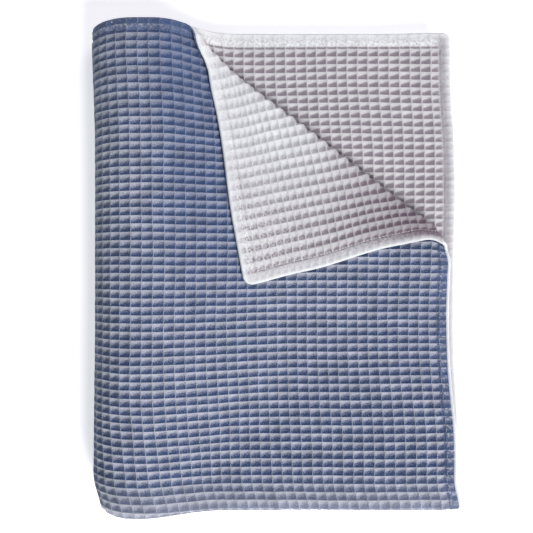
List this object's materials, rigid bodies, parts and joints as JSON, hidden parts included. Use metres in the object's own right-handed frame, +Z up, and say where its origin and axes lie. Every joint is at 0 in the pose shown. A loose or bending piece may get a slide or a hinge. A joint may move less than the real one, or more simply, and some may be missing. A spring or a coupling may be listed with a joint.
{
  "type": "folded waffle weave cotton blanket",
  "caption": "Soft waffle weave baby blanket of two panels sewn edge to edge, folded in quarters with one corner of the top layer turned back to show its pale reverse.",
  "frame": {"origin": "centre of the bounding box's underside, where the folded blanket rests", "axes": "+Z up; +Y runs along the cloth from the front fold to the free edges at the back; +X runs across it from the side fold to the free edges at the right"},
  "size_m": [0.3844, 0.5028, 0.0633],
  "materials": {
    "blue_waffle": "matt dusty blue waffle weave cotton with paler raised ridges",
    "white_waffle": "matt off-white waffle weave cotton"
  },
  "bodies": {
    "root": {"blue_panel": "blue_waffle", "white_panel": "white_waffle"}
  },
  "joints": []
}
